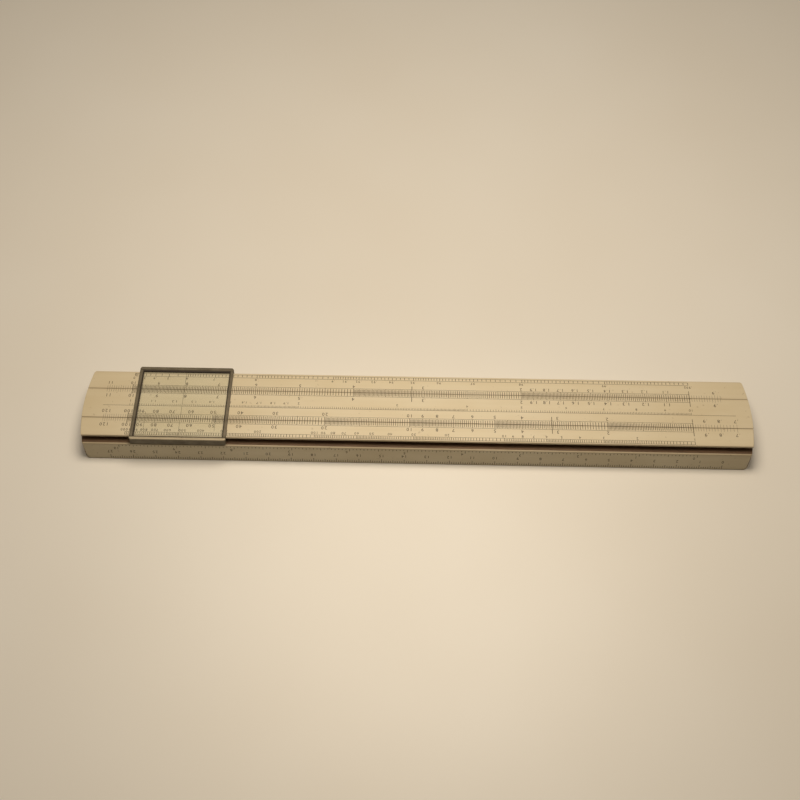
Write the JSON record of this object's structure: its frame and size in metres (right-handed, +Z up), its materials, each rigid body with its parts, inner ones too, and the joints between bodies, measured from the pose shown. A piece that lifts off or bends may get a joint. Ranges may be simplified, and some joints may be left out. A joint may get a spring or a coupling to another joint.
{
  "type": "slide rule",
  "caption": "Desk slide rule with a wooden stock in two sprung halves, a tongued slide, ivory celluloid facings and a metal-framed glass cursor that runs in grooves along both sides.",
  "frame": {"origin": "Middle of the whole length and of the whole width, cursor included, on the underside that rests on a table.", "axes": "+X along the scales in reading order, +Y towards the bevelled edge with the ruler scales, +Z up out of the face."},
  "size_m": [0.2974, 0.0418, 0.0128],
  "materials": {
    "wood": "Oiled mahogany-brown hardwood with a fine straight grain.",
    "face_celluloid": "Aged ivory celluloid with a soft satin gloss, engraved and inked scales.",
    "edge_celluloid": "Aged ivory celluloid, slightly more worn along its corner.",
    "back_celluloid": "Aged ivory celluloid with printed reference tables.",
    "plate_metal": "Rolled light-alloy sheet, dull, with a fine brushed direction along the rule.",
    "brass": "Small turned brass, slightly tarnished.",
    "clear_window": "Clear celluloid, a little yellowed, with one scribed index line.",
    "cursor_metal": "Plated sheet metal, worn to a dull warm grey on the corners.",
    "spring_metal": "Blued spring steel, thin and smooth.",
    "glass": "Clear plate glass with a faint green tint and a scribed hairline.",
    "scale_ink": "Dark brown-black ink rubbed into engraved lines and figures."
  },
  "bodies": {
    "stock": {"upper_rail": "wood", "lower_rail": "wood", "upper_face_strip": "face_celluloid", "lower_face_strip": "face_celluloid", "well_strip": "face_celluloid", "upper_edge_strip": "edge_celluloid", "lower_edge_strip": "edge_celluloid", "upper_back_strip": "back_celluloid", "lower_back_strip": "back_celluloid", "spring_plate": "plate_metal", "plate_screws": "brass", "window_pins": "brass", "left_index_window": "clear_window", "right_index_window": "clear_window"},
    "slide": {"slide_core": "wood", "slide_face_strip": "face_celluloid", "slide_back_strip": "face_celluloid"},
    "cursor": {"cursor_upper_bar": "cursor_metal", "cursor_lower_bar": "cursor_metal", "cursor_left_bar": "cursor_metal", "cursor_right_bar": "cursor_metal", "upper_runner": "cursor_metal", "lower_runner": "cursor_metal", "upper_glass_rest": "cursor_metal", "lower_glass_rest": "cursor_metal", "cursor_spring": "spring_metal", "cursor_glass": "glass"}
  },
  "joints": [
    {"name": "slide_travel", "type": "slide", "parent": "stock", "child": "slide", "axis": [1, 0, 0], "range_m": [-0.25, 0.25]},
    {"name": "cursor_travel", "type": "slide", "parent": "stock", "child": "cursor", "axis": [1, 0, 0], "range_m": [-0.2302, 0.0208]}
  ]
}
